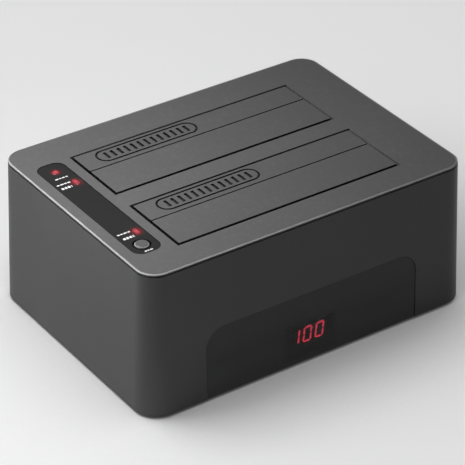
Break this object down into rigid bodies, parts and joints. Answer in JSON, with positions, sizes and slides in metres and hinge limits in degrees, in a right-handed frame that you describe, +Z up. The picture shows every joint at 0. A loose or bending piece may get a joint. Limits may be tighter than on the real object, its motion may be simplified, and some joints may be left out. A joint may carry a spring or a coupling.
{
  "type": "drive duplicator",
  "caption": "Desk-top hard-drive dock and duplicator: two top bays closed by sprung flaps, indicator strip with clone button, smoked front window with a red digital display.",
  "frame": {"origin": "middle of the resting plane under the feet", "axes": "+X to the right along the bays, +Y to the back, +Z up; the display window faces -Y"},
  "size_m": [0.1538, 0.1126, 0.0648],
  "materials": {
    "shell": "satin charcoal moulding",
    "window": "smoked, polished",
    "base": "fine texture",
    "rubber": "matte",
    "well": "matte black",
    "flap": "satin charcoal moulding",
    "steel": "ground",
    "spring_steel": "drawn wire",
    "panel": "dark satin inlay",
    "red_lens": "lit red light pipe",
    "button": "satin grey",
    "switch_case": "matte",
    "plunger": "matte",
    "circuit_board": "solder mask",
    "led": "matte",
    "socket_plastic": "matte",
    "contact": "gold flash",
    "shield": "plated",
    "tongue": "matte blue",
    "power_key": "satin black",
    "chip": "matte",
    "ferrite": "matte",
    "can": "sleeve",
    "display_face": "matte",
    "lit_red": "lit",
    "dark_segment": "unlit",
    "connector": "matte",
    "cable": "flat cable",
    "screw": "zinc"
  },
  "bodies": {
    "dock_body": {"top_cover": "shell", "housing": "shell", "front_window": "window", "base_plate": "base", "rubber_feet": "rubber", "bay_well_front": "well", "bay_well_rear": "well", "hinge_pins": "steel", "front_bay_wide_spring": "spring_steel", "front_bay_narrow_spring": "spring_steel", "rear_bay_wide_spring": "spring_steel", "rear_bay_narrow_spring": "spring_steel", "indicator_panel": "panel", "power_light_lens": "red_lens", "source_light_lens": "red_lens", "target_light_lens": "red_lens", "clone_switch_body": "switch_case", "button_board": "circuit_board", "panel_leds": "led", "main_board": "circuit_board", "sata_socket_front": "socket_plastic", "sata_socket_rear": "socket_plastic", "sata_contacts": "contact", "usb_socket": "shield", "usb_tongue": "tongue", "power_jack": "socket_plastic", "power_jack_pin": "contact", "power_switch_body": "switch_case", "controller_chip": "chip", "bridge_chips": "chip", "inductors": "ferrite", "capacitors": "can", "crystals": "shield", "display_module": "display_face", "lit_segments": "lit_red", "dark_segments": "dark_segment", "display_board": "circuit_board", "display_connector": "connector", "button_cable": "cable", "cable_plugs": "connector", "base_screws": "screw", "board_screws": "screw", "well_screws": "screw", "panel_screws": "screw"},
    "front_bay_wide_flap": {"front_bay_wide_flap": "flap"},
    "front_bay_narrow_flap": {"front_bay_narrow_flap": "flap"},
    "rear_bay_wide_flap": {"rear_bay_wide_flap": "flap"},
    "rear_bay_narrow_flap": {"rear_bay_narrow_flap": "flap"},
    "clone_button": {"clone_button": "button", "clone_switch_plunger": "plunger"},
    "power_button": {"power_button": "power_key", "power_switch_plunger": "plunger"}
  },
  "joints": [
    {"name": "front_bay_wide_flap_hinge", "type": "hinge", "parent": "dock_body", "child": "front_bay_wide_flap", "pos_m": [-0.00035, -0.04125, 0.0605], "axis": [-1, 0, 0], "range_deg": [0, 90], "stiffness_Nm_per_rad": 0.0016, "springref_deg": -68.75, "deforming": ["front_bay_wide_spring"]},
    {"name": "front_bay_narrow_flap_hinge", "type": "hinge", "parent": "dock_body", "child": "front_bay_narrow_flap", "pos_m": [-0.00035, -0.00635, 0.0605], "axis": [1, 0, 0], "range_deg": [0, 90], "stiffness_Nm_per_rad": 0.0009, "springref_deg": -68.75, "deforming": ["front_bay_narrow_spring"]},
    {"name": "rear_bay_wide_flap_hinge", "type": "hinge", "parent": "dock_body", "child": "rear_bay_wide_flap", "pos_m": [-0.00035, 0.00275, 0.0605], "axis": [-1, 0, 0], "range_deg": [0, 90], "stiffness_Nm_per_rad": 0.0016, "springref_deg": -68.75, "deforming": ["rear_bay_wide_spring"]},
    {"name": "rear_bay_narrow_flap_hinge", "type": "hinge", "parent": "dock_body", "child": "rear_bay_narrow_flap", "pos_m": [-0.00035, 0.03765, 0.0605], "axis": [1, 0, 0], "range_deg": [0, 90], "stiffness_Nm_per_rad": 0.0009, "springref_deg": -68.75, "deforming": ["rear_bay_narrow_spring"]},
    {"name": "clone_button_press", "type": "slide", "parent": "dock_body", "child": "clone_button", "axis": [0, 0, -1], "range_m": [0, 0.0008], "stiffness_N_per_m": 900, "springref_m": -0.0008},
    {"name": "power_button_press", "type": "slide", "parent": "dock_body", "child": "power_button", "axis": [0, -1, 0], "range_m": [0, 0.0015], "stiffness_N_per_m": 700, "springref_m": -0.001}
  ]
}
